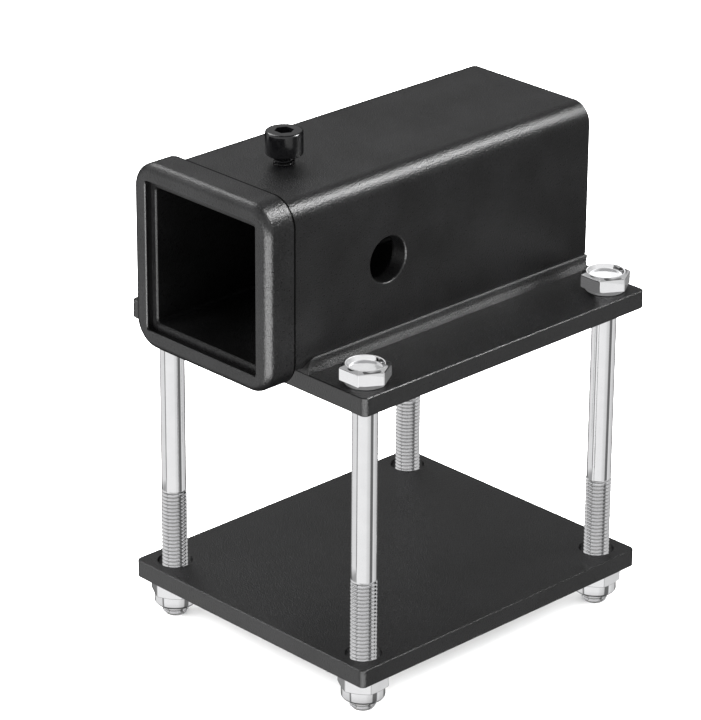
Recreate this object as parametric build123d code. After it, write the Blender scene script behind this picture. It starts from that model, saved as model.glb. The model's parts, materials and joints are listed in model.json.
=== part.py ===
from build123d import *
from math import sqrt
import os

# Bolt-on hitch receiver: a square receiver tube with a collar round its mouth is welded to a top
# plate. A second plate hangs under it on four long bolts, and lock nuts draw the two plates
# together round a square bumper beam. A socket-head bolt in the tube's roof presses on the shank.
# Millimetres, +Z up. The mouth faces -Y and X = 0 is the plane of symmetry. The part stands on its
# bolt ends at Z = 0, and Y = 0 is half way between the collar's face and the plates' rear edge.

# Receiver tube
tube_size = 66.0
tube_wall = 6.8
tube_corner_radius = 7.8
tube_inner_radius = 1.5
tube_rear_setback = 1.0
tube_end_chamfer = 0.5
pin_hole_diameter = 17.5
pin_hole_to_mouth = 61.1
pin_hole_rounding = 0.75

# Collar: it laps over the tube's end and has a thin lip in front of it
collar_wall = 2.7
collar_length = 13.6
collar_lip = 2.85
collar_ledge = 4.2
collar_opening_radius = 1.5
collar_opening_chamfer = 0.4
collar_front_rounding = 3.0
collar_rear_rounding = 0.8
collar_overhang = 21.15

# Plates
plate_width = 125.0
plate_length = 146.0
plate_thickness = 7.2
plate_corner_radius = 2.3
plate_edge_chamfer = 0.3
bolt_to_side_edge = 10.75
bolt_to_end_edge = 10.6
bolt_hole_diameter = 13.5
clamp_gap = 100.8

# Weld beads in the grooves under the tube's rounded corners
weld_height = 5.8
weld_toe = 0.4
weld_knee_height = 2.4
weld_knee_out = 0.1
weld_root = 0.3
weld_start_radius = 4.0

# Hexagon bolts, M10
thread_diameter = 9.9
shank_diameter = 9.5
thread_past_nut = 4.4
thread_above_clamp_plate = 30.5
bolt_tip_chamfer = 1.0
hex_across_flats = 16.8
washer_face_diameter = 15.1
washer_face_height = 1.7
hex_height = 5.0
head_rim_height = 0.8
head_rim_foot_diameter = 16.4
head_top_diameter = 14.8
head_dish_diameter = 13.8
head_dish_floor = 12.3
head_dish_depth = 1.7

# Lock nuts with nylon rings
nut_turn = 33.0
nut_height = 10.4
nut_crown_height = 4.6
nut_crown_diameter = 16.3
nut_crown_rounding = 1.1
nut_corner_chamfer = 0.5
nut_bearing_chamfer = 0.7
ring_thickness = 2.6
ring_diameter = 13.2
ring_lip_height = 0.8
ring_lip_diameter = 12.2
running_clearance = 0.05

# Anti-rattle bolt, M8 socket head
screw_to_mouth = 40.95
screw_diameter = 7.9
screw_length = 10.0
screw_standoff = 3.6
screw_head_diameter = 13.9
screw_head_height = 9.0
screw_head_rounding = 0.9
screw_head_foot_chamfer = 0.5
screw_socket_across_flats = 6.2
screw_socket_depth = 4.2
screw_tip_chamfer = 0.8

# Levels and stations that follow from the sizes
bolt_length = thread_past_nut + nut_height + plate_thickness + clamp_gap + plate_thickness
thread_length = thread_past_nut + nut_height + plate_thickness + thread_above_clamp_plate
nut_top = thread_past_nut + nut_height
clamp_plate_top = nut_top + plate_thickness
top_plate_bottom = clamp_plate_top + clamp_gap
top_plate_top = top_plate_bottom + plate_thickness
tube_centre = top_plate_top + tube_size / 2
tube_top = top_plate_top + tube_size
tube_opening = tube_size - 2 * tube_wall
collar_size = tube_size + 2 * collar_wall
collar_opening = tube_size - 2 * collar_ledge
bolt_spacing_x = plate_width - 2 * bolt_to_side_edge
bolt_spacing_y = plate_length - 2 * bolt_to_end_edge
mouth_y = -(collar_overhang + plate_length) / 2
plate_front_y = mouth_y + collar_overhang
plate_centre_y = plate_front_y + plate_length / 2
tube_front_y = mouth_y + collar_lip
tube_rear_y = plate_front_y + plate_length - tube_rear_setback
tube_length = tube_rear_y - tube_front_y
pin_hole_y = mouth_y + pin_hole_to_mouth
screw_y = mouth_y + screw_to_mouth
corners = {
    "front_left": (-1, -1),
    "front_right": (1, -1),
    "rear_left": (-1, 1),
    "rear_right": (1, 1),
}


def save(shape, node):
    export_step(shape, f"parts/{node}.step")


def along_y(section, start_y, length, centre_z):
    """Extrude a section drawn in X and Z towards +Y."""
    plane = Plane(origin=(0, start_y, centre_z), x_dir=(1, 0, 0), z_dir=(0, -1, 0))
    return extrude(plane * section, amount=-length)


def corner_point(side_x, side_y):
    return bolt_spacing_x / 2 * side_x, plate_centre_y + bolt_spacing_y / 2 * side_y


def turned(points):
    """Revolve a closed outline of (radius, height) points about Z."""
    outline = Polyline(*points, close=True)
    return revolve(Plane.XZ * make_face(outline), axis=Axis.Z)


def hex_prism(across_flats, height, angle):
    section = RegularPolygon(across_flats / 2, 6, major_radius=False, rotation=angle)
    return extrude(section, amount=height)


def receiver_tube():
    outside = RectangleRounded(tube_size, tube_size, tube_corner_radius)
    inside = RectangleRounded(tube_opening, tube_opening, tube_inner_radius)
    tube = along_y(outside - inside, tube_front_y, tube_length, tube_centre)
    ends = tube.faces().sort_by(Axis.Y)
    tube = chamfer(ends[0].edges() + ends[-1].edges(), tube_end_chamfer)
    pin_hole = Cylinder(pin_hole_diameter / 2, tube_size, rotation=(0, 90, 0))
    tube -= Pos(0, pin_hole_y, tube_centre) * pin_hole
    round_edges = tube.edges().filter_by(GeomType.CIRCLE)
    rims = round_edges.filter_by(lambda edge: abs(abs(edge.center().X) - tube_size / 2) < 0.01)
    tube = fillet(rims, pin_hole_rounding)
    screw_hole = Cylinder(screw_diameter / 2 + running_clearance, 2 * tube_wall)
    return tube - Pos(0, screw_y, tube_top - tube_wall / 2) * screw_hole


def mouth_collar():
    outside = RectangleRounded(collar_size, collar_size, tube_corner_radius + collar_wall)
    opening = RectangleRounded(collar_opening, collar_opening, collar_opening_radius)
    seat = RectangleRounded(tube_size, tube_size, tube_corner_radius)
    collar = along_y(outside, mouth_y, collar_length, tube_centre)
    front = collar.faces().sort_by(Axis.Y)[0]
    collar = fillet(front.edges(), collar_front_rounding)
    rear = collar.faces().sort_by(Axis.Y)[-1]
    collar = fillet(rear.edges(), collar_rear_rounding)
    collar -= along_y(opening, mouth_y, collar_length, tube_centre)
    front = collar.faces().sort_by(Axis.Y)[0]
    collar = chamfer(front.inner_wires()[0].edges(), collar_opening_chamfer)
    return collar - along_y(seat, tube_front_y, collar_length, tube_centre)


def plate(bottom_z):
    section = RectangleRounded(plate_width, plate_length, plate_corner_radius)
    blank = extrude(section, amount=plate_thickness)
    top_edges = blank.faces().sort_by(Axis.Z)[-1].edges()
    bottom_edges = blank.faces().sort_by(Axis.Z)[0].edges()
    blank = chamfer(top_edges + bottom_edges, plate_edge_chamfer)
    blank = Pos(0, plate_centre_y, bottom_z) * blank
    for side_x, side_y in corners.values():
        x, y = corner_point(side_x, side_y)
        hole = Cylinder(bolt_hole_diameter / 2, 2 * plate_thickness)
        blank -= Pos(x, y, bottom_z + plate_thickness / 2) * hole
    return blank


def groove_arc_x(height):
    """X of the tube's lower corner arc at a height above the plate."""
    centre_x = tube_size / 2 - tube_corner_radius
    return centre_x + sqrt(tube_corner_radius**2 - (tube_corner_radius - height) ** 2)


def weld_bead(side):
    root = (groove_arc_x(weld_root), weld_root)
    middle_height = (weld_root + weld_height) / 2
    crest = (groove_arc_x(weld_height), weld_height)
    toe = (tube_size / 2 + weld_toe, 0)
    knee = (tube_size / 2 + weld_knee_out, weld_knee_height)
    outline = [
        Line((root[0], 0), root),
        ThreePointArc(root, (groove_arc_x(middle_height), middle_height), crest),
        Line(crest, knee),
        Line(knee, toe),
        Line(toe, (root[0], 0)),
    ]
    section = make_face(outline)
    if side < 0:
        section = mirror(section, about=Plane.YZ)
    bead_length = tube_rear_y - plate_front_y
    bead = along_y(section, plate_front_y, bead_length, top_plate_top)
    start = weld_start_radius
    crest_point = (-plate_width / 2, plate_front_y, top_plate_top + weld_height)
    side_view = Plane(origin=crest_point, x_dir=(0, 1, 0), z_dir=(1, 0, 0))
    corner_block = Pos(start / 2, -start / 2) * Rectangle(start, start)
    outside_nose = corner_block - Pos(start, -start) * Circle(start)
    return bead - extrude(side_view * outside_nose, amount=plate_width)


def hex_bolt(side_x, side_y):
    hex_top = washer_face_height + hex_height
    head_top = hex_top + head_rim_height
    head = Pos(0, 0, washer_face_height) * hex_prism(hex_across_flats, hex_height, 0)
    rim = turned([
        (0, hex_top),
        (head_rim_foot_diameter / 2, hex_top),
        (head_top_diameter / 2, head_top),
        (0, head_top),
    ])
    dish = turned([
        (0, head_top - head_dish_depth),
        (head_dish_floor / 2, head_top - head_dish_depth),
        (head_dish_diameter / 2, head_top),
        (0, head_top),
    ])
    washer_face = extrude(Circle(washer_face_diameter / 2), amount=washer_face_height)
    thread_radius = thread_diameter / 2
    shank_radius = shank_diameter / 2
    shaft = turned([
        (0, -bolt_length),
        (thread_radius - bolt_tip_chamfer, -bolt_length),
        (thread_radius, bolt_tip_chamfer - bolt_length),
        (thread_radius, thread_length - bolt_length),
        (shank_radius, thread_length - bolt_length),
        (shank_radius, 0),
        (0, 0),
    ])
    bolt = head + rim - dish + washer_face + shaft
    return Pos(*corner_point(side_x, side_y), top_plate_top) * bolt


def lock_nut(side_x, side_y):
    corner_radius = hex_across_flats / sqrt(3)
    crown_radius = nut_crown_diameter / 2
    bore_radius = thread_diameter / 2 + running_clearance
    bearing_radius = hex_across_flats / 2 - nut_bearing_chamfer / 2
    form = turned([
        (0, 0),
        (bearing_radius, 0),
        (corner_radius, -nut_bearing_chamfer),
        (corner_radius, nut_corner_chamfer + nut_crown_height - nut_height),
        (crown_radius, nut_crown_height - nut_height),
        (0, nut_crown_height - nut_height),
    ])
    crown = extrude(Circle(crown_radius), amount=nut_crown_height)
    crown = fillet(crown.faces().sort_by(Axis.Z)[0].edges(), nut_crown_rounding)
    bottom = Pos(0, 0, -nut_height)
    nut = (form & (bottom * hex_prism(hex_across_flats, nut_height, nut_turn))) + bottom * crown
    ring_top = ring_lip_height + ring_thickness - nut_height
    nut -= turned([
        (0, 0),
        (bore_radius, 0),
        (bore_radius, ring_top),
        (ring_diameter / 2, ring_top),
        (ring_diameter / 2, ring_lip_height - nut_height),
        (ring_lip_diameter / 2, ring_lip_height - nut_height),
        (ring_lip_diameter / 2, -nut_height),
        (0, -nut_height),
    ])
    return Pos(*corner_point(side_x, side_y), nut_top) * nut


def nylon_ring(side_x, side_y):
    bore_radius = thread_diameter / 2 + running_clearance
    section = Circle(ring_diameter / 2) - Circle(bore_radius)
    ring = extrude(section, amount=ring_thickness)
    return Pos(*corner_point(side_x, side_y), thread_past_nut + ring_lip_height) * ring


def anti_rattle_bolt():
    head_radius = screw_head_diameter / 2
    thread_radius = screw_diameter / 2
    body = turned([
        (0, -screw_length),
        (thread_radius - screw_tip_chamfer, -screw_length),
        (thread_radius, screw_tip_chamfer - screw_length),
        (thread_radius, 0),
        (head_radius - screw_head_foot_chamfer, 0),
        (head_radius, screw_head_foot_chamfer),
        (head_radius, screw_head_height),
        (0, screw_head_height),
    ])
    top_rim = body.faces().sort_by(Axis.Z)[-1].edges()
    body = fillet(top_rim, screw_head_rounding)
    socket = hex_prism(screw_socket_across_flats, screw_socket_depth, 0)
    body -= Pos(0, 0, screw_head_height - screw_socket_depth) * socket
    return Pos(0, screw_y, tube_top + screw_standoff) * body


os.makedirs("parts", exist_ok=True)
save(receiver_tube(), "receiver_tube")
save(mouth_collar(), "mouth_collar")
save(plate(top_plate_bottom), "top_plate")
save(plate(nut_top), "clamp_plate")
save(weld_bead(-1), "weld_bead_left")
save(weld_bead(1), "weld_bead_right")
save(anti_rattle_bolt(), "anti_rattle_bolt")
for corner, sides in corners.items():
    save(hex_bolt(*sides), f"hex_bolt_{corner}")
    save(lock_nut(*sides), f"lock_nut_{corner}")
    save(nylon_ring(*sides), f"nylon_ring_{corner}")
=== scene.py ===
import json
import math

import bmesh
import bpy
from mathutils import Matrix, Vector, noise

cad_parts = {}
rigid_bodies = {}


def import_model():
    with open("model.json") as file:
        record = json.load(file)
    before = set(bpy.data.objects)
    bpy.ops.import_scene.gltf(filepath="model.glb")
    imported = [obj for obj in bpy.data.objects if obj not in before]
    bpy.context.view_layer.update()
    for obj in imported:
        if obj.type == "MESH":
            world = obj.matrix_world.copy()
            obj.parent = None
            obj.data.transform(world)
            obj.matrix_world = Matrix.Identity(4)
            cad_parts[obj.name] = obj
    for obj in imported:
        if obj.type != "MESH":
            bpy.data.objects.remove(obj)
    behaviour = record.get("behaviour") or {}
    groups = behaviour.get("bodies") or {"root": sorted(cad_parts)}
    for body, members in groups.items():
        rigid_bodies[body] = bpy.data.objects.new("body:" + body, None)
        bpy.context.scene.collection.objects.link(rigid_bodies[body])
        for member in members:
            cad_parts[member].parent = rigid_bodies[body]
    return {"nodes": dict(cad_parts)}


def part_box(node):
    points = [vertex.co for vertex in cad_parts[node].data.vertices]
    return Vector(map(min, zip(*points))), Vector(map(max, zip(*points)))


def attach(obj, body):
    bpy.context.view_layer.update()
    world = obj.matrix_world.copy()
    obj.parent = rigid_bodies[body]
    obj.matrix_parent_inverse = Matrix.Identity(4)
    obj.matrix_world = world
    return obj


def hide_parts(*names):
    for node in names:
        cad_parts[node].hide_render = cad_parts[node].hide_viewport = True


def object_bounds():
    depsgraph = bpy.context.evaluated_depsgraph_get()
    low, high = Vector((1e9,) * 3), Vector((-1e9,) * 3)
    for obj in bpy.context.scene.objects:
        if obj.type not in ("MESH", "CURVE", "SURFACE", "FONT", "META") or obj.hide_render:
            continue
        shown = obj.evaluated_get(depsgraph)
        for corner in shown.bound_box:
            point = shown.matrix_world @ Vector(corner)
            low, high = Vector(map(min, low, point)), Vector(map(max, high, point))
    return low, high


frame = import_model()
cad_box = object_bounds()
nodes = frame["nodes"]

# Lengths below are millimetres in the CAD frame; the meshes are scaled to metres when they are made.
MM = 0.001

# Hexagon bolt, M10
bolt_across_flats = 16.8
bolt_corner_rounding = 0.5
bolt_edge_rounding = 0.28
bolt_shank_diameter = 9.5
bolt_thread_diameter = 9.9
bolt_thread_pitch = 1.5
bolt_thread_length = 52.5
bolt_tip_chamfer = 1.0
bolt_washer_diameter = 15.1
bolt_washer_height = 1.7
bolt_hex_height = 5.0
bolt_rim_height = 0.8
bolt_rim_diameter = 14.8
bolt_dish_diameter = 13.8
bolt_dish_floor = 12.3
bolt_dish_depth = 1.7

# Lock nut
nut_across_flats = 16.8
nut_turn = 33.0
nut_height = 10.4
nut_bore_diameter = 10.0
nut_bearing_diameter = 16.1
nut_bearing_chamfer = 0.7
nut_corner_chamfer = 0.5
nut_crown_height = 4.6
nut_crown_diameter = 16.3
nut_crown_rounding = 1.1
nut_lip_diameter = 12.2
nut_lip_height = 0.8
nut_ring_diameter = 13.2
nut_ring_thickness = 2.6

# Anti-rattle bolt, M8 socket head
screw_head_diameter = 13.9
screw_head_height = 9.0
screw_head_rounding = 0.9
screw_foot_chamfer = 0.5
screw_thread_diameter = 7.9
screw_thread_pitch = 1.25
screw_length = 10.0
screw_tip_chamfer = 0.8
screw_socket_across_flats = 6.2
screw_socket_depth = 4.2

# A 60 degree thread: share of the pitch, share of the thread's depth left standing
thread_depth_share = 0.60
thread_profile = [
    (0.000, 1.00), (0.055, 1.00), (0.095, 0.92), (0.230, 0.50), (0.355, 0.10), (0.430, 0.00),
    (0.570, 0.00), (0.645, 0.10), (0.770, 0.50), (0.905, 0.92), (0.945, 1.00),
]

# Angles of a sector's points, measured from the hexagon's corner
sector_angles = [
    0.0, 0.75, 1.5, 2.0, 6.0, 12.0, 18.0, 24.0, 30.0, 36.0, 42.0, 48.0, 54.0, 58.0, 58.5, 59.25,
]
ring_angles = [math.radians(60 * sector + a) for sector in range(6) for a in sector_angles]


def hexagon_radius(angle, across_flats, rounding):
    """Radius of a hexagon with rounded corners, one of them at angle 0."""
    apothem = across_flats / 2
    from_corner = (angle + math.pi / 6) % (math.pi / 3) - math.pi / 6
    centre = (apothem - rounding) * 2 / math.sqrt(3)
    tangent = math.atan2(rounding / 2, centre + rounding * math.sqrt(3) / 2)
    if abs(from_corner) < tangent:
        across = centre * math.sin(from_corner)
        return centre * math.cos(from_corner) + math.sqrt(rounding**2 - across**2)
    return apothem / math.cos(math.pi / 6 - abs(from_corner))


def circle(radius, height):
    return [(radius, height)] * len(ring_angles)


def add_rows(bm, rows, closed=False, cap_start=False, cap_end=False):
    """Skin of quads over rows of (radius, height) points, one point for each ring angle."""
    count = len(ring_angles)
    made = []
    for row in rows:
        ring = []
        for angle, (radius, height) in zip(ring_angles, row):
            ring.append(bm.verts.new((radius * math.cos(angle), radius * math.sin(angle), height)))
        made.append(ring)
    pairs = list(zip(made, made[1:]))
    if closed:
        pairs.append((made[-1], made[0]))
    for low, high in pairs:
        for i in range(count):
            j = (i + 1) % count
            bm.faces.new((low[i], low[j], high[j], high[i]))
    ends = []
    if cap_start:
        ends.append(made[0])
    if cap_end:
        ends.append(made[-1])
    for ring in ends:
        centre = bm.verts.new((0, 0, ring[0].co.z))
        for i in range(count):
            bm.faces.new((ring[i], ring[(i + 1) % count], centre))


def add_thread(bm, crest_radius, pitch, bottom, top, tip_radius, end_radius):
    """Right-hand helical thread on a sheared grid, cut off square at both ends."""
    count = len(ring_angles)
    step = len(thread_profile)
    depth = thread_depth_share * pitch
    turns = math.ceil((top - bottom) / pitch) + 1
    grid = []
    for turn in range(-1, turns):
        for share, standing in thread_profile:
            ring = []
            for angle in ring_angles:
                height = bottom + pitch * (turn + share + angle / (2 * math.pi))
                radius = crest_radius - depth * (1 - standing)
                to_top = (top - height) / pitch
                if to_top < 1:
                    radius = max(radius, end_radius - depth * max(to_top, 0))
                radius = min(radius, tip_radius + max(height - bottom, 0))
                if height <= bottom:
                    height, radius = bottom, tip_radius
                if height >= top:
                    height, radius = top, end_radius
                ring.append(bm.verts.new((radius * math.cos(angle), radius * math.sin(angle), height)))
            grid.append(ring)
    for low in range(len(grid) - 1):
        for i in range(count - 1):
            bm.faces.new((grid[low][i], grid[low][i + 1], grid[low + 1][i + 1], grid[low + 1][i]))
        if low + step + 1 < len(grid):
            bm.faces.new((grid[low][-1], grid[low + step][0], grid[low + step + 1][0], grid[low + 1][-1]))


def finish_mesh(bm, name, sharp_angle=40.0, turn=0.0):
    """Merge the seams, point the normals out and scale to metres."""
    bmesh.ops.remove_doubles(bm, verts=bm.verts, dist=0.0004)
    loose = [v for v in bm.verts if not v.link_faces]
    bmesh.ops.delete(bm, geom=loose, context="VERTS")
    bmesh.ops.recalc_face_normals(bm, faces=bm.faces)
    bm.transform(Matrix.Scale(MM, 4) @ Matrix.Rotation(turn, 4, "Z"))
    mesh = bpy.data.meshes.new(name)
    bm.to_mesh(mesh)
    bm.free()
    mesh.shade_smooth()
    mesh.set_sharp_from_angle(angle=math.radians(sharp_angle))
    return mesh


def place(mesh, name, body, node, offset):
    """Make a piece that stands for a CAD node, rides on its body and sits at an offset in metres."""
    own = mesh.copy()
    own.name = name
    own.transform(Matrix.Translation(offset))
    piece = bpy.data.objects.new(name, own)
    bpy.context.scene.collection.objects.link(piece)
    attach(piece, body)
    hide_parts(node)
    return piece


def bolt_mesh():
    """Bolt with its tip at height 0 and its head on top."""
    bm = bmesh.new()
    low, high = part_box("hex_bolt_front_left")
    top = (high.z - low.z) / MM
    hex_top = top - bolt_rim_height
    under_hex = hex_top - bolt_hex_height
    seat = under_hex - bolt_washer_height
    shank = bolt_shank_diameter / 2
    washer = bolt_washer_diameter / 2
    rim = bolt_rim_diameter / 2
    tip = bolt_thread_diameter / 2 - bolt_tip_chamfer
    add_rows(bm, [circle(0.6 * tip, 0), circle(tip, 0)], cap_start=True)
    add_thread(bm, bolt_thread_diameter / 2, bolt_thread_pitch, 0, bolt_thread_length, tip, shank)
    sides = [hexagon_radius(a, bolt_across_flats, bolt_corner_rounding) for a in ring_angles]
    edge = bolt_edge_rounding
    support = 0.10
    rows = [circle(shank, bolt_thread_length)]
    spans = 12
    for i in range(1, spans):
        rows.append(circle(shank, bolt_thread_length + (seat - bolt_thread_length) * i / spans))
    rows += [
        circle(shank, seat),
        circle(washer - 0.15, seat),
        circle(washer, seat + 0.15),
        circle(washer, under_hex - 0.25),
        circle(washer + 0.25, under_hex),
        [(r - edge, under_hex) for r in sides],
        [(r - 0.3 * edge, under_hex + 0.3 * edge) for r in sides],
        [(r, under_hex + edge) for r in sides],
        [(r, under_hex + edge + support) for r in sides],
        [(r, hex_top - edge - support) for r in sides],
        [(r, hex_top - edge) for r in sides],
        [(r - 0.25 * edge, hex_top - 0.35 * edge) for r in sides],
        [(r - edge, hex_top) for r in sides],
        [(r - edge - support, hex_top + 0.5 * support) for r in sides],
        circle(rim + 0.15, top - 0.15),
        circle(rim + 0.05, top - 0.05),
        circle(rim - 0.12, top),
        circle(bolt_dish_diameter / 2 + 0.15, top),
        circle(bolt_dish_diameter / 2, top - 0.10),
        circle(bolt_dish_diameter / 2 - 0.08, top - 0.20),
        circle(bolt_dish_floor / 2 + 0.20, top - bolt_dish_depth + 0.40),
        circle(bolt_dish_floor / 2 + 0.08, top - bolt_dish_depth + 0.15),
        circle(bolt_dish_floor / 2 - 0.10, top - bolt_dish_depth + 0.02),
        circle(bolt_dish_floor / 2 - 0.30, top - bolt_dish_depth),
        circle(bolt_dish_floor / 4, top - bolt_dish_depth),
    ]
    add_rows(bm, rows, cap_end=True)
    return finish_mesh(bm, "bolt")


def nut_mesh():
    """Lock nut with its bearing face up at height 0."""
    bm = bmesh.new()
    bore = nut_bore_diameter / 2
    crown = nut_crown_diameter / 2
    lip = nut_lip_diameter / 2
    pocket = nut_ring_diameter / 2
    bearing = nut_bearing_diameter / 2
    sides = [hexagon_radius(a, nut_across_flats, bolt_corner_rounding) for a in ring_angles]
    corner = nut_across_flats / math.sqrt(3)
    shoulder = nut_crown_height - nut_height
    up_slope = nut_bearing_chamfer / (corner - bearing)
    low_slope = nut_corner_chamfer / (corner - crown)
    edge = bolt_edge_rounding
    rows = [
        circle(bore, 0),
        circle(bearing, 0),
        [(r - edge, -(r - edge - bearing) * up_slope) for r in sides],
        [(r - 0.2 * edge, -(r - bearing) * up_slope - 0.15 * edge) for r in sides],
        [(r, -(r - bearing) * up_slope - edge) for r in sides],
        [(r, -(r - bearing) * up_slope - edge - 0.1) for r in sides],
        [(r, shoulder + (r - crown) * low_slope + 0.6 * edge + 0.1) for r in sides],
        [(r, shoulder + (r - crown) * low_slope + 0.6 * edge) for r in sides],
        [(r - 0.12 * edge, shoulder + (r - crown) * low_slope + 0.1 * edge) for r in sides],
        [
            (max(r - 0.6 * edge, crown), shoulder + max(r - 0.6 * edge - crown, 0) * low_slope)
            for r in sides
        ],
        circle(crown, shoulder - 0.01),
    ]
    bend = nut_crown_rounding
    rows.append(circle(crown, shoulder - 0.15))
    for i in range(9):
        a = math.radians(90 * i / 8)
        rows.append(circle(crown - bend + bend * math.cos(a), -nut_height + bend - bend * math.sin(a)))
    rows += [
        circle(lip + 0.12, -nut_height),
        circle(lip, -nut_height + 0.12),
        circle(lip, -nut_height + nut_lip_height),
        circle(pocket, -nut_height + nut_lip_height),
        circle(pocket, -nut_height + nut_lip_height + nut_ring_thickness),
        circle(bore, -nut_height + nut_lip_height + nut_ring_thickness),
    ]
    add_rows(bm, rows, closed=True)
    return finish_mesh(bm, "nut", turn=math.radians(nut_turn))


def screw_mesh():
    """Socket-head bolt with the underside of its head at height 0."""
    bm = bmesh.new()
    head = screw_head_diameter / 2
    top = screw_head_height
    bend = screw_head_rounding
    foot = screw_foot_chamfer
    tip = screw_thread_diameter / 2 - screw_tip_chamfer
    neck = screw_thread_diameter / 2 - 0.3
    add_rows(bm, [circle(0.6 * tip, -screw_length), circle(tip, -screw_length)], cap_start=True)
    add_thread(bm, screw_thread_diameter / 2, screw_thread_pitch, -screw_length, 0, tip, neck)
    socket = [hexagon_radius(a, screw_socket_across_flats, 0.15) for a in ring_angles]
    rows = [
        circle(neck, 0),
        circle(head - foot - 0.08, 0),
        circle(head - foot + 0.04, 0.04),
        circle(head - 0.06, foot - 0.06),
        circle(head, foot + 0.1),
        circle(head, top / 2),
        circle(head, top - bend - 0.1),
    ]
    for i in range(9):
        a = math.radians(90 * i / 8)
        rows.append(circle(head - bend + bend * math.cos(a), top - bend + bend * math.sin(a)))
    rows += [
        [(r + 0.3, top) for r in socket],
        [(r + 0.08, top) for r in socket],
        [(r, top - 0.08) for r in socket],
        [(r, top - 0.2) for r in socket],
        [(r, top - screw_socket_depth) for r in socket],
        [(0.5 * r, top - screw_socket_depth - 0.5) for r in socket],
    ]
    add_rows(bm, rows, cap_end=True)
    return finish_mesh(bm, "screw")


# Weld bead: the tube's rounded lower corner and the plate make the groove that it fills
tube_corner_radius = 7.8
weld_height = 5.8
weld_side_out = 0.45
weld_shelf = 2.5
weld_toe = 0.75
weld_root = 0.3
weld_start_radius = 4.0
weld_station_gap = 0.35
weld_ripple_gap = 1.25
weld_ripple_depth = 0.06
weld_grain_depth = 0.10
weld_coarse_grain = 1.3
weld_fine_grain = 3.1
weld_grain_out = 0.8
weld_grain_up = 0.6


def weld_mesh(side):
    """Bead along the tube's lower corner on one side, with a rounded start and a grainy face."""
    tube_low, tube_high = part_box("receiver_tube")
    plate_low, plate_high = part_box("top_plate")
    tube_side = tube_high.x / MM
    floor_z = plate_high.z / MM
    start_y = plate_low.y / MM
    end_y = tube_high.y / MM
    centre_x = tube_side - tube_corner_radius
    section = []
    inner_points = 8
    for i in range(inner_points + 1):
        z = weld_root + (weld_height - weld_root) * i / inner_points
        x = centre_x + math.sqrt(tube_corner_radius**2 - (tube_corner_radius - z) ** 2)
        section.append((x, z, 0.0))
    section += [
        (tube_side + 0.05, weld_height + 0.02, 0.3),
        (tube_side + 0.25, weld_height - 0.06, 0.6),
        (tube_side + weld_side_out, weld_height - 0.35, 0.8),
        (tube_side + weld_side_out, weld_height - 0.75, 1.0),
        (tube_side + weld_side_out - 0.15, weld_height - 1.5, 1.0),
        (tube_side + weld_side_out - 0.28, weld_height - 2.3, 1.0),
        (tube_side + weld_side_out - 0.34, weld_shelf + 0.3, 1.0),
        (tube_side + weld_side_out - 0.26, weld_shelf - 0.2, 1.0),
        (tube_side + weld_side_out - 0.08, weld_shelf - 0.8, 1.0),
        (tube_side + weld_side_out + 0.12, weld_shelf - 1.5, 1.0),
        (tube_side + weld_toe - 0.05, 0.30, 0.7),
        (tube_side + weld_toe, 0.0, 0.0),
    ]
    root_x = section[0][0]
    bottom_points = 6
    for i in range(1, bottom_points + 1):
        share = i / bottom_points
        section.append((tube_side + weld_toe + (root_x - tube_side - weld_toe) * share, 0.0, 0.0))
    bm = bmesh.new()
    stations = round((end_y - start_y) / weld_station_gap)
    rings = []
    for k in range(stations + 1):
        y = start_y + (end_y - start_y) * k / stations
        into = y - start_y
        ceiling = weld_height + 1
        if into < weld_start_radius:
            drop = weld_start_radius - into
            ceiling = weld_height - weld_start_radius + math.sqrt(weld_start_radius**2 - drop**2)
        ring = []
        for x, z, skin in section:
            ripple = weld_ripple_depth * math.sin(2 * math.pi * (y + 0.15 * z * z) / weld_ripple_gap)
            point = Vector((x * side, y, z))
            grain = noise.noise(point * weld_coarse_grain) + 0.6 * noise.noise(point * weld_fine_grain)
            out = skin * (ripple + weld_grain_depth * grain)
            lift = min(z + weld_grain_up * out * (z > 0), ceiling)
            ring.append(bm.verts.new((side * (x + weld_grain_out * out), y, lift + floor_z)))
        rings.append(ring)
    count = len(section)
    for low, high in zip(rings, rings[1:]):
        for i in range(count):
            j = (i + 1) % count
            bm.faces.new((low[i], low[j], high[j], high[i]))
    bm.faces.new(rings[0])
    bm.faces.new(rings[-1])
    return finish_mesh(bm, "weld", sharp_angle=60.0)


# Materials

# Painted shade: the coat is painted near black and dull in the tube's bore, in the collar's opening and as
# a dark line along the seam behind the collar
coat_specular = 0.5
painted_shade_specular = 0.02
painted_shade_colour = (0.003, 0.003, 0.003)
painted_shade_fade = 0.10
collar_seam = 1.3
collar_opening = 57.6
opening_shade_strength = 0.85
bore_shade_strength = 0.65
bore_low = 26.4
bore_high = 27.2


def new_material(name):
    material = bpy.data.materials.new(name)
    material.use_nodes = True
    tree = material.node_tree
    return material, tree, tree.nodes["Principled BSDF"]


def add_noise(tree, coordinates, scale, detail, roughness=0.5):
    texture = tree.nodes.new("ShaderNodeTexNoise")
    texture.inputs["Scale"].default_value = scale
    texture.inputs["Detail"].default_value = detail
    texture.inputs["Roughness"].default_value = roughness
    tree.links.new(coordinates.outputs["Object"], texture.inputs["Vector"])
    return texture.outputs["Fac"]


def add_range(tree, value, low, high, from_low=0.3, from_high=0.7):
    spread = tree.nodes.new("ShaderNodeMapRange")
    spread.inputs["From Min"].default_value = from_low
    spread.inputs["From Max"].default_value = from_high
    spread.inputs["To Min"].default_value = low
    spread.inputs["To Max"].default_value = high
    tree.links.new(value, spread.inputs["Value"])
    return spread.outputs["Result"]


def add_bump(tree, height, distance):
    bump = tree.nodes.new("ShaderNodeBump")
    bump.inputs["Strength"].default_value = 1.0
    bump.inputs["Distance"].default_value = distance
    tree.links.new(height, bump.inputs["Height"])
    return bump.outputs["Normal"]


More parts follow.
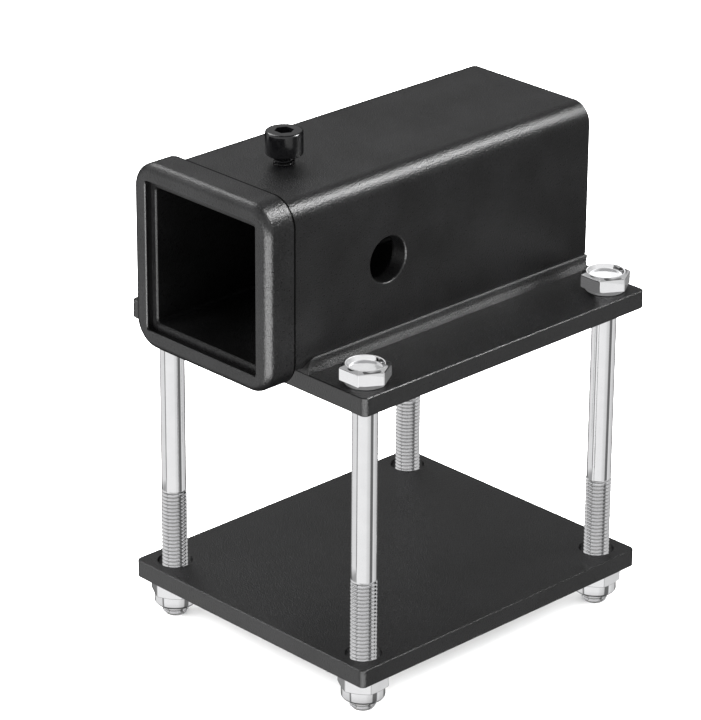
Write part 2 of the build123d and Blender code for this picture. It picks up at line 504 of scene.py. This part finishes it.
def tinted(tree, value, dark, light):
    """Mix two greys by a value from 0 to 1; dark may be another mix."""
    mix = tree.nodes.new("ShaderNodeMix")
    mix.data_type = "RGBA"
    if isinstance(dark, tuple):
        mix.inputs["A"].default_value = (*dark, 1)
    else:
        tree.links.new(dark, mix.inputs["A"])
    mix.inputs["B"].default_value = (*light, 1)
    tree.links.new(value, mix.inputs["Factor"])
    return mix.outputs["Result"]


def math_node(tree, operation, first, second):
    node = tree.nodes.new("ShaderNodeMath")
    node.operation = operation
    for socket, value in zip(node.inputs, (first, second)):
        if isinstance(value, (int, float)):
            socket.default_value = value
        else:
            tree.links.new(value, socket)
    return node.outputs[0]


def magnitude(tree, value):
    return math_node(tree, "ABSOLUTE", value, 0.0)


def coat_material(name, dark, light, gloss, grain_size, grain_depth, painted_shade_at=None):
    """Satin black powder coat: a fine orange-peel grain over a slow change of tone.

    Where the optional function of the position gives 1, shade is painted in: the coat is dull and near
    black there, as a dark seam line or as shade in a hollow.
    """
    material, tree, shader = new_material(name)
    coordinates = tree.nodes.new("ShaderNodeTexCoord")
    fine = add_noise(tree, coordinates, 1 / (grain_size * MM), 2.0, 0.6)
    broad = add_noise(tree, coordinates, 45.0, 3.0)
    tone = add_range(tree, math_node(tree, "MULTIPLY", broad, fine), 0.0, 1.0, 0.10, 0.40)
    colour = tinted(tree, tone, dark, light)
    # Painted shade: near black and dull where the position mask gives 1
    if painted_shade_at:
        place_split = tree.nodes.new("ShaderNodeSeparateXYZ")
        tree.links.new(coordinates.outputs["Object"], place_split.inputs["Vector"])
        shade_amount = painted_shade_at(tree, place_split)
        shine = add_range(tree, shade_amount, coat_specular, painted_shade_specular, 0.0, 1.0)
        tree.links.new(shine, shader.inputs["Specular IOR Level"])
        colour = tinted(tree, shade_amount, colour, painted_shade_colour)
    tree.links.new(colour, shader.inputs["Base Color"])
    tree.links.new(add_range(tree, fine, gloss - 0.05, gloss + 0.05), shader.inputs["Roughness"])
    tree.links.new(add_bump(tree, fine, grain_depth * MM), shader.inputs["Normal"])
    shader.inputs["IOR"].default_value = 1.5
    return material


def from_axis(tree, position):
    """Distance from the tube's axis, square to its walls."""
    upward = math_node(tree, "SUBTRACT", position.outputs["Z"], tube_middle_z)
    return math_node(tree, "MAXIMUM", magnitude(tree, position.outputs["X"]), magnitude(tree, upward))


def collar_painted_shade(tree, position):
    """Painted shade on the collar: a dark line on its rear rounding, where it laps over the tube, and
    darkening on the walls of its opening.
    """
    edge = collar_rear_y - collar_seam * MM
    rear = add_range(tree, position.outputs["Y"], 0.0, 1.0, edge, edge + painted_shade_fade * MM)
    wall = (collar_opening + painted_shade_fade) / 2 * MM
    distance = from_axis(tree, position)
    opening = add_range(tree, distance, opening_shade_strength, 0.0, wall, wall + painted_shade_fade * MM)
    return math_node(tree, "MAXIMUM", rear, opening)


def bore_painted_shade(tree, position):
    """Painted shade in the tube's bore."""
    return add_range(tree, from_axis(tree, position), bore_shade_strength, 0.0, bore_low * MM, bore_high * MM)


def thread_root_shade(tree, position):
    """Painted shade for a bolt's thread: how deep a point lies in it, from 0 at the crest to 1 at the
    root.
    """
    split = tree.nodes.new("ShaderNodeSeparateXYZ")
    tree.links.new(position, split.inputs["Vector"])
    across = math_node(tree, "SUBTRACT", magnitude(tree, split.outputs["X"]), bolt_axis.x)
    to_front = math_node(tree, "SUBTRACT", split.outputs["Y"], bolt_axis.y)
    to_rear = math_node(tree, "SUBTRACT", split.outputs["Y"], rear_bolt_axis.y)
    along = math_node(tree, "MINIMUM", magnitude(tree, to_front), magnitude(tree, to_rear))
    across_squared = math_node(tree, "POWER", magnitude(tree, across), 2.0)
    along_squared = math_node(tree, "POWER", along, 2.0)
    squared = math_node(tree, "ADD", across_squared, along_squared)
    radius = math_node(tree, "SQRT", squared, 0.0)
    deep = add_range(tree, radius, 1.0, 0.0, groove_root * MM, groove_rim * MM)
    below = math_node(tree, "LESS_THAN", split.outputs["Z"], bolt_thread_length * MM)
    return math_node(tree, "MULTIPLY", deep, below)


def plated_material():
    """Bright zinc plate: clear reflections with faint drawn lines, small changes of tone and painted shade
    in the thread roots.
    """
    material, tree, shader = new_material("bright_zinc")
    coordinates = tree.nodes.new("ShaderNodeTexCoord")
    cloudy = add_noise(tree, coordinates, 180.0, 3.0)
    fine = add_noise(tree, coordinates, 900.0, 2.0)
    tone = add_range(tree, cloudy, 0.0, 1.0)
    plate = tinted(tree, tone, (0.84, 0.84, 0.85), (0.88, 0.88, 0.89))
    # Painted shade: the thread roots are darkened towards grey
    groove = thread_root_shade(tree, coordinates.outputs["Object"])
    tree.links.new(tinted(tree, groove, plate, (0.34, 0.34, 0.34)), shader.inputs["Base Color"])
    tree.links.new(add_range(tree, fine, 0.06, 0.09), shader.inputs["Roughness"])
    tree.links.new(add_bump(tree, fine, 0.0015 * MM), shader.inputs["Normal"])
    shader.inputs["Metallic"].default_value = 1.0
    return material


def oxide_material():
    """Oiled black oxide: near black, with sharp highlights."""
    material, tree, shader = new_material("black_oxide")
    coordinates = tree.nodes.new("ShaderNodeTexCoord")
    fine = add_noise(tree, coordinates, 700.0, 2.0)
    tone = add_range(tree, fine, 0.0, 1.0)
    colour = tinted(tree, tone, (0.005, 0.005, 0.006), (0.010, 0.010, 0.011))
    tree.links.new(colour, shader.inputs["Base Color"])
    tree.links.new(add_range(tree, fine, 0.14, 0.20), shader.inputs["Roughness"])
    tree.links.new(add_bump(tree, fine, 0.006 * MM), shader.inputs["Normal"])
    shader.inputs["IOR"].default_value = 1.6
    return material


def nylon_material():
    """Natural nylon, slightly waxy."""
    material, tree, shader = new_material("nylon")
    coordinates = tree.nodes.new("ShaderNodeTexCoord")
    cloudy = add_noise(tree, coordinates, 400.0, 2.0)
    tone = add_range(tree, cloudy, 0.0, 1.0)
    tree.links.new(tinted(tree, tone, (0.74, 0.74, 0.69), (0.80, 0.80, 0.76)), shader.inputs["Base Color"])
    shader.inputs["Roughness"].default_value = 0.45
    shader.inputs["Subsurface Weight"].default_value = 0.15
    shader.inputs["Subsurface Radius"].default_value = (0.001, 0.001, 0.0008)
    return material


def paint(piece, material):
    piece.data.materials.clear()
    piece.data.materials.append(material)


groove_root = 4.10
groove_rim = 4.45
bolt_axis = sum(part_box("hex_bolt_front_right"), Vector()) / 2
rear_bolt_axis = sum(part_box("hex_bolt_rear_right"), Vector()) / 2
collar_rear_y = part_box("mouth_collar")[1].y
tube_middle_z = (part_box("receiver_tube")[0].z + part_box("receiver_tube")[1].z) / 2
coat_look = ((0.001, 0.001, 0.001), (0.020, 0.020, 0.021), 0.32, 0.60, 0.170)
# Painted shade: the plates get a darker copy of the same coat, so that the top plate's top reads as shaded
# by the tube
shaded_plate_coat = coat_material("shaded_plate_coat", (0.001, 0.001, 0.001), (0.010, 0.010, 0.011), 0.32, 0.60, 0.150)
# The collar gets a painted dark seam line and painted shade in its opening; the tube gets painted shade in
# its bore
collar_coat = coat_material("collar_coat", *coat_look, painted_shade_at=collar_painted_shade)
tube_coat = coat_material("tube_coat", *coat_look, painted_shade_at=bore_painted_shade)
bead = coat_material("weld_coat", (0.002, 0.002, 0.002), (0.040, 0.040, 0.041), 0.44, 0.60, 0.380)
zinc = plated_material()
oxide = oxide_material()
nylon = nylon_material()

paint(nodes["receiver_tube"], tube_coat)
paint(nodes["mouth_collar"], collar_coat)
paint(nodes["top_plate"], shaded_plate_coat)
paint(nodes["clamp_plate"], shaded_plate_coat)

bolt = bolt_mesh()
nut = nut_mesh()
for corner in ("front_left", "front_right", "rear_left", "rear_right"):
    paint(nodes["nylon_ring_" + corner], nylon)
    low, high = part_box("hex_bolt_" + corner)
    centre = (low + high) / 2
    at_tip = Vector((centre.x, centre.y, low.z))
    paint(place(bolt, "bolt_" + corner, "bolt_" + corner, "hex_bolt_" + corner, at_tip), zinc)
    low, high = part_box("lock_nut_" + corner)
    at_seat = Vector((centre.x, centre.y, high.z))
    paint(place(nut, "nut_" + corner, "nut_" + corner, "lock_nut_" + corner, at_seat), zinc)

low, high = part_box("anti_rattle_bolt")
under_head = Vector(((low.x + high.x) / 2, (low.y + high.y) / 2, high.z - screw_head_height * MM))
screw = screw_mesh()
screw_piece = place(screw, "anti_rattle_screw", "anti_rattle", "anti_rattle_bolt", under_head)
paint(screw_piece, oxide)

for side, side_name in ((-1, "left"), (1, "right")):
    node = "weld_bead_" + side_name
    paint(place(weld_mesh(side), "weld_" + side_name, "receiver", node, Vector((0, 0, 0))), bead)

# Camera: it looks down on the mouth's right-hand side
camera_azimuth = 45.996
camera_elevation = 23.782
camera_roll = 0.335
camera_distance = 1.48087
camera_lens = 192.68
aim = Vector((-0.0328, 0.0225, 0.0890))


def direction(azimuth, elevation):
    """Unit vector from the object towards an azimuth and elevation in degrees; azimuth 0 is -Y."""
    a, e = math.radians(azimuth), math.radians(elevation)
    return Vector((math.sin(a) * math.cos(e), -math.cos(a) * math.cos(e), math.sin(e)))


back = direction(camera_azimuth, camera_elevation)
level_right = Vector((0, 0, 1)).cross(back).normalized()
turn = Matrix.Rotation(math.radians(camera_roll), 3, back)
right = turn @ level_right
up = back.cross(right)
camera_data = bpy.data.cameras.new("camera")
camera_data.lens = camera_lens
camera = bpy.data.objects.new("camera", camera_data)
bpy.context.scene.collection.objects.link(camera)
position = aim + back * camera_distance
camera.matrix_world = Matrix((
    (right.x, up.x, back.x, position.x),
    (right.y, up.y, back.y, position.y),
    (right.z, up.z, back.z, position.z),
    (0, 0, 0, 1),
))
bpy.context.scene.camera = camera

# Lights: radiance is in the scene's own units, where 1 is the white background.
# Each finish has its own softboxes, so that the satin coat and the bright zinc can be lit apart.
object_centre = (cad_box[0] + cad_box[1]) / 2
coated = bpy.data.collections.new("coated_pieces")
black = bpy.data.collections.new("black_pieces")
beads = bpy.data.collections.new("weld_pieces")
tubes = bpy.data.collections.new("tube_pieces")
plates = bpy.data.collections.new("plate_pieces")
plated = bpy.data.collections.new("plated_pieces")
for name in ("receiver_tube", "mouth_collar", "top_plate", "clamp_plate"):
    coated.objects.link(nodes[name])
for name in ("weld_left", "weld_right"):
    coated.objects.link(bpy.data.objects[name])
    beads.objects.link(bpy.data.objects[name])
    tubes.objects.link(bpy.data.objects[name])
for name in ("receiver_tube", "mouth_collar"):
    tubes.objects.link(nodes[name])
for name in ("top_plate", "clamp_plate"):
    plates.objects.link(nodes[name])
# No other piece mirrors the clamp plate
nodes["clamp_plate"].visible_glossy = False
for piece in list(coated.objects) + [bpy.data.objects["anti_rattle_screw"]]:
    black.objects.link(piece)
for corner in ("front_left", "front_right", "rear_left", "rear_right"):
    plated.objects.link(bpy.data.objects["bolt_" + corner])
    plated.objects.link(bpy.data.objects["nut_" + corner])


def panel(name, azimuth, elevation, distance, width, height, radiance):
    """Square light that faces the object."""
    data = bpy.data.lights.new(name, "AREA")
    data.shape = "RECTANGLE"
    data.size = width
    data.size_y = height
    data.energy = radiance * math.pi * width * height
    light = bpy.data.objects.new(name, data)
    bpy.context.scene.collection.objects.link(light)
    towards = direction(azimuth, elevation)
    light.location = object_centre + towards * distance
    light.rotation_euler = towards.to_track_quat("Z", "Y").to_euler()
    light.visible_camera = False
    return light


def lamp(name, *place_and_radiance):
    """Soft light that fills, with no mirror image."""
    light = panel(name, *place_and_radiance)
    light.visible_glossy = False


def softbox(name, receivers, *place_and_radiance):
    """Mirror image on some of the pieces, with no diffuse light."""
    light = panel(name, *place_and_radiance)
    light.visible_diffuse = False
    light.light_linking.receiver_collection = receivers
    return light


# Name, azimuth, elevation, distance, width, height, radiance
for row in (
    ("top_lamp", 0.0, 75.0, 1.6, 1.2, 1.2, 2.2),
    ("front_lamp", -30.0, 25.0, 1.6, 1.2, 1.0, 2.2),
):
    lamp(*row)
# Name, the pieces that mirror it, then the same values. plate_front and front_softbox stand in one
# place, and the plates look different if their order changes.
for row in (
    ("rear_softbox", black, 139.6, 51.1, 0.479, 0.17, 0.12, 38.0),
    ("weld_softbox", beads, 130.0, 10.0, 1.3, 0.70, 0.50, 16.0),
    ("plate_softbox", plates, 134.0, -24.0, 1.3, 0.90, 0.60, 0.48),
    ("plate_front", plates, -46.0, -24.0, 1.4, 0.90, 0.90, 0.80),
    ("left_softbox", black, -94.0, 48.8, 1.3, 0.75, 0.50, 5.5),
    ("left_tail", black, -52.0, 32.0, 1.3, 0.35, 0.30, 3.0),
    ("plate_tail", plates, -58.0, 39.0, 1.3, 0.35, 0.30, 8.0),
    ("low_softbox", tubes, 44.0, -23.8, 1.2, 2.40, 0.60, 9.6),
    ("plate_low_softbox", plates, 44.0, -23.8, 1.2, 2.40, 0.60, 5.6),
    ("front_softbox", coated, -46.0, -24.0, 1.4, 0.90, 0.90, 0.36),
):
    softbox(*row)

# Small lights by the bolt heads: one lies on the plate under each head, two face it from the tube's side
plate_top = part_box("top_plate")[1].z
foot_card_size = 40.0
foot_card_lift = 0.3
foot_card_radiance = 0.15
# Name, azimuth, elevation, distance, size, radiance
head_cards = [
    ("slope_card", -100.0, 64.0, 14.0, 30.0, 0.36),
    ("dish_card", -134.0, 24.0, 15.0, 15.0, 0.36),
]
for corner in ("front_left", "front_right", "rear_left", "rear_right"):
    low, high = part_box("hex_bolt_" + corner)
    head_top = Vector(((low.x + high.x) / 2, (low.y + high.y) / 2, high.z))
    foot_size = foot_card_size * MM
    foot = softbox("foot_card_" + corner, plated, 0.0, 90.0, 1.0, foot_size, foot_size, foot_card_radiance)
    foot.location = (head_top.x, head_top.y, plate_top + foot_card_lift * MM)
    foot.rotation_euler = (math.pi, 0, 0)
    for name, azimuth, elevation, distance, size, radiance in head_cards:
        card = softbox(name + "_" + corner, plated, 0.0, 90.0, 1.0, size * MM, size * MM, radiance)
        towards = direction(math.copysign(azimuth, -head_top.x), elevation)
        card.location = head_top + towards * distance * MM
        card.rotation_euler = towards.to_track_quat("Z", "Y").to_euler()

# World: white to the camera, a plain level for diffuse light, a studio with dark cards for gloss.
# Stops are degrees to the right of the camera's azimuth, and levels of grey.
world = bpy.data.worlds.new("studio")
bpy.context.scene.world = world
world.use_nodes = True
sky = world.node_tree
sky.nodes.clear()
world_diffuse_level = 0.60
world_low = [
    (-180, 0.00), (-150, 0.00), (-125, 0.10), (-110, 0.80), (-75, 0.80), (-72, 0.22), (-66, 0.22),
    (-63, 0.95), (15, 0.92), (26, 0.80), (50, 0.66), (54, 0.15), (76, 0.15), (82, 0.42), (95, 0.42),
    (108, 0.05), (140, 0.00), (180, 0.00),
]
world_high = [
    (-180, 0.42), (-165, 0.40), (-150, 0.30), (-110, 0.50), (-60, 0.80), (60, 0.80), (110, 0.30),
    (125, 0.03), (155, 0.03), (168, 0.38), (180, 0.42),
]
tent_low = [
    (-180, 0.12), (-150, 0.17), (-125, 0.70), (-110, 0.00), (76, 0.00), (82, 0.43), (95, 0.30),
    (108, 0.60), (125, 0.60), (142, 0.13), (180, 0.12),
]
tent_high = [
    (-180, 0.35), (-150, 0.35), (-110, 0.25), (-60, 0.15), (60, 0.15), (110, 0.35), (125, 0.50),
    (155, 0.50), (168, 0.35), (180, 0.35),
]
# Straight up and straight down the studio is darker; these stops are the sine of the elevation
steep_stops = [
    (-1.0, 0.05), (-0.86, 0.10), (-0.74, 0.42), (-0.62, 0.50), (-0.50, 1.00), (0.80, 1.00),
    (0.95, 0.12), (1.0, 0.12),
]


def level_ramp(tree, factor, low, high, stops):
    """Grey level by a factor that runs from 0 at low to 1 at high."""
    ramp = tree.nodes.new("ShaderNodeValToRGB")
    elements = ramp.color_ramp.elements
    while len(elements) < len(stops):
        elements.new(0.5)
    for element, (at, level) in zip(elements, stops):
        element.position = (at - low) / (high - low)
        element.color = (level, level, level, 1)
    tree.links.new(factor, ramp.inputs["Fac"])
    return ramp.outputs["Color"]


def surroundings(tree, coordinates, low_stops, high_stops):
    """Grey level by direction: one ramp below the horizon, another above it."""
    unit = tree.nodes.new("ShaderNodeVectorMath")
    unit.operation = "NORMALIZE"
    tree.links.new(coordinates, unit.inputs[0])
    split = tree.nodes.new("ShaderNodeSeparateXYZ")
    tree.links.new(unit.outputs["Vector"], split.inputs["Vector"])
    backward_y = math_node(tree, "MULTIPLY", split.outputs["Y"], -1.0)
    angle = math_node(tree, "ARCTAN2", split.outputs["X"], backward_y)
    turns = math_node(tree, "DIVIDE", angle, 2 * math.pi)
    from_camera = math_node(tree, "ADD", turns, 1.5 - camera_azimuth / 360)
    factor = math_node(tree, "FRACT", from_camera, 0.0)
    rise = tree.nodes.new("ShaderNodeMapRange")
    rise.interpolation_type = "SMOOTHSTEP"
    rise.inputs["From Min"].default_value = 0.05
    rise.inputs["From Max"].default_value = 0.35
    tree.links.new(split.outputs["Z"], rise.inputs["Value"])
    blend = tree.nodes.new("ShaderNodeMix")
    blend.data_type = "RGBA"
    tree.links.new(rise.outputs["Result"], blend.inputs["Factor"])
    tree.links.new(level_ramp(tree, factor, -180, 180, low_stops), blend.inputs["A"])
    tree.links.new(level_ramp(tree, factor, -180, 180, high_stops), blend.inputs["B"])
    steepness = add_range(tree, split.outputs["Z"], 0.0, 1.0, -1.0, 1.0)
    dimmed = tree.nodes.new("ShaderNodeMix")
    dimmed.data_type = "RGBA"
    dimmed.blend_type = "MULTIPLY"
    dimmed.inputs["Factor"].default_value = 1.0
    tree.links.new(blend.outputs["Result"], dimmed.inputs["A"])
    tree.links.new(level_ramp(tree, steepness, -1, 1, steep_stops), dimmed.inputs["B"])
    return dimmed.outputs["Result"]


def background(tree, level):
    node = tree.nodes.new("ShaderNodeBackground")
    node.inputs["Color"].default_value = (1, 1, 1, 1)
    node.inputs["Strength"].default_value = level
    return node


sky_coordinates = sky.nodes.new("ShaderNodeTexCoord")
path = sky.nodes.new("ShaderNodeLightPath")
plain = background(sky, world_diffuse_level)
glossy = background(sky, 1.0)
studio = surroundings(sky, sky_coordinates.outputs["Generated"], world_low, world_high)
sky.links.new(studio, glossy.inputs["Color"])
white = background(sky, 1.0)
gloss_mix = sky.nodes.new("ShaderNodeMixShader")
sky.links.new(path.outputs["Is Glossy Ray"], gloss_mix.inputs[0])
sky.links.new(plain.outputs[0], gloss_mix.inputs[1])
sky.links.new(glossy.outputs[0], gloss_mix.inputs[2])
direct = math_node(sky, "MAXIMUM", path.outputs["Is Camera Ray"], path.outputs["Is Transmission Ray"])
view_mix = sky.nodes.new("ShaderNodeMixShader")
sky.links.new(direct, view_mix.inputs[0])
sky.links.new(gloss_mix.outputs[0], view_mix.inputs[1])
sky.links.new(white.outputs[0], view_mix.inputs[2])
world_output = sky.nodes.new("ShaderNodeOutputWorld")
sky.links.new(view_mix.outputs[0], world_output.inputs["Surface"])


def clear_box(name, half, receivers):
    """Glowing box round the set that some pieces are lit by and all others see through."""
    mesh = bpy.data.meshes.new(name)
    form = bmesh.new()
    bmesh.ops.create_cube(form, size=2 * half)
    form.to_mesh(mesh)
    form.free()
    box = bpy.data.objects.new(name, mesh)
    bpy.context.scene.collection.objects.link(box)
    box.visible_camera = False
    box.visible_transmission = False
    box.visible_shadow = False
    box.light_linking.receiver_collection = receivers
    fabric = bpy.data.materials.new(name)
    fabric.use_nodes = True
    fabric.cycles.emission_sampling = "NONE"
    tree = fabric.node_tree
    tree.nodes.clear()
    glow = tree.nodes.new("ShaderNodeEmission")
    clear = tree.nodes.new("ShaderNodeBsdfTransparent")
    layers = tree.nodes.new("ShaderNodeAddShader")
    tree.links.new(glow.outputs[0], layers.inputs[0])
    tree.links.new(clear.outputs[0], layers.inputs[1])
    output = tree.nodes.new("ShaderNodeOutputMaterial")
    tree.links.new(layers.outputs[0], output.inputs["Surface"])
    mesh.materials.append(fabric)
    return box, tree


# Light tent: the plated pieces mirror it
tent, tent_tree = clear_box("light_tent", 6.0, plated)
tent.visible_diffuse = False
tent_coordinates = tent_tree.nodes.new("ShaderNodeTexCoord")
tent_colour = surroundings(tent_tree, tent_coordinates.outputs["Object"], tent_low, tent_high)
tent_tree.links.new(tent_colour, tent_tree.nodes["Emission"].inputs["Color"])

# Floor: white paper. A second clear box lights it alone, brightly enough that the paper stays white
# to the camera wherever the object doesn't stand close over it.
floor_half = 6.0
floor_albedo = 0.90
floor_side_albedo = 0.15
floor_light = 5.2
floor_mesh = bpy.data.meshes.new("floor")
floor_corners = [(-1, -1), (1, -1), (1, 1), (-1, 1)]
floor_mesh.from_pydata([(floor_half * x, floor_half * y, 0) for x, y in floor_corners], [], [(0, 1, 2, 3)])
floor = bpy.data.objects.new("floor", floor_mesh)
bpy.context.scene.collection.objects.link(floor)
floor.visible_glossy = False
floor.visible_shadow = False
floor_paint = bpy.data.materials.new("floor")
floor_paint.use_nodes = True
ground = floor_paint.node_tree
ground.nodes.clear()
ground_path = ground.nodes.new("ShaderNodeLightPath")
paper = ground.nodes.new("ShaderNodeMapRange")
paper.inputs["To Min"].default_value = floor_side_albedo
paper.inputs["To Max"].default_value = floor_albedo
ground.links.new(ground_path.outputs["Is Camera Ray"], paper.inputs["Value"])
matt = ground.nodes.new("ShaderNodeBsdfDiffuse")
ground.links.new(paper.outputs["Result"], matt.inputs["Color"])
ground_output = ground.nodes.new("ShaderNodeOutputMaterial")
ground.links.new(matt.outputs[0], ground_output.inputs["Surface"])
floor_mesh.materials.append(floor_paint)
paper_set = bpy.data.collections.new("floor_pieces")
paper_set.objects.link(floor)
paper_tent, paper_tree = clear_box("paper_tent", 1.2 * floor_half, paper_set)
paper_tent.visible_glossy = False
paper_glow = paper_tree.nodes["Emission"]
paper_glow.inputs["Color"].default_value = (1, 1, 1, 1)
paper_glow.inputs["Strength"].default_value = floor_light

bpy.context.scene.view_settings.view_transform = "Standard"
